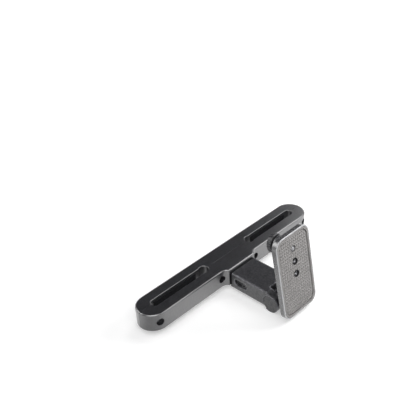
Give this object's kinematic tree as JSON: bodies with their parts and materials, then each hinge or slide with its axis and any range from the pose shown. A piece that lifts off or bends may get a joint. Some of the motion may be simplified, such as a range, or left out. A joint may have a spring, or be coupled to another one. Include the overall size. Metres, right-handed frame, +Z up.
{
  "type": "headrest dvd player mount",
  "caption": "Headrest mount for a portable player: a two-part slotted rail clamps the headrest posts, and a short telescoping arm carries a tilting plate with a thumb knob.",
  "frame": {"origin": "middle of the rail's underside, on the plane where its two halves meet", "axes": "+X along the rail, -Y towards the rear passenger whom the plate faces, +Z up"},
  "size_m": [0.286, 0.1347, 0.1062],
  "materials": {
    "rail_plastic": "fine satin moulding, dark charcoal",
    "arm_plastic": "fine satin moulding, dark charcoal",
    "bracket_plastic": "fine satin moulding, dark charcoal",
    "frame_plastic": "satin moulding with a bright edge, charcoal",
    "cap_plastic": "satin moulding, dark grey",
    "tongue_plastic": "plain moulding, grey",
    "knob_plastic": "semi-gloss moulding, black",
    "pad_rubber": "fine knurl, warm grey",
    "grip_rubber": "matt, black",
    "washer_rubber": "matt, black",
    "screw_steel": "oil-blackened and worn, dark steel",
    "guide_steel": "plain bright steel",
    "nut_steel": "zinc plated",
    "stud_steel": "plain bright steel"
  },
  "bodies": {
    "front_rail": {"rail_front": "rail_plastic", "grip_strip_front_left": "grip_rubber", "grip_strip_front_right": "grip_rubber", "clamp_screw_1": "screw_steel", "clamp_screw_2": "screw_steel", "clamp_screw_3": "screw_steel", "clamp_screw_4": "screw_steel", "slide_tongue": "tongue_plastic", "tongue_screw_left": "screw_steel", "tongue_screw_right": "screw_steel", "guide_screw_left": "guide_steel", "guide_screw_right": "guide_steel"},
    "back_rail": {"rail_back": "rail_plastic", "grip_strip_back_left": "grip_rubber", "grip_strip_back_right": "grip_rubber", "clamp_nut_1": "nut_steel", "clamp_nut_2": "nut_steel", "clamp_nut_3": "nut_steel", "clamp_nut_4": "nut_steel"},
    "arm": {"arm_sleeve": "arm_plastic", "hinge_bolt": "screw_steel", "hinge_nut": "nut_steel", "hinge_cap_left": "cap_plastic", "hinge_cap_right": "cap_plastic", "friction_washer_left": "washer_rubber", "friction_washer_right": "washer_rubber"},
    "head": {"tilt_bracket": "bracket_plastic", "plate_frame": "frame_plastic", "grip_pad": "pad_rubber", "hole_bush_middle": "stud_steel", "hole_bush_lower": "stud_steel", "plate_screw_1": "screw_steel", "plate_screw_2": "screw_steel", "plate_screw_3": "screw_steel", "plate_screw_4": "screw_steel", "collar_washer": "washer_rubber"},
    "thumb_knob": {"knob": "knob_plastic", "knob_stud": "stud_steel"}
  },
  "joints": [
    {"name": "clamp_open", "type": "slide", "parent": "front_rail", "child": "back_rail", "axis": [0, 1, 0], "range_m": [0, 0.0035]},
    {"name": "arm_extend", "type": "slide", "parent": "front_rail", "child": "arm", "axis": [0, -1, 0], "range_m": [0, 0.01]},
    {"name": "head_tilt", "type": "hinge", "parent": "arm", "child": "head", "pos_m": [0, -0.085, 0.004], "axis": [1, 0, 0], "range_deg": [-30, 60]},
    {"name": "knob_turn", "type": "hinge", "parent": "head", "child": "thumb_knob", "pos_m": [0, -0.07475, 0.07437], "axis": [0, -0.9863, 0.165], "continuous": true}
  ]
}
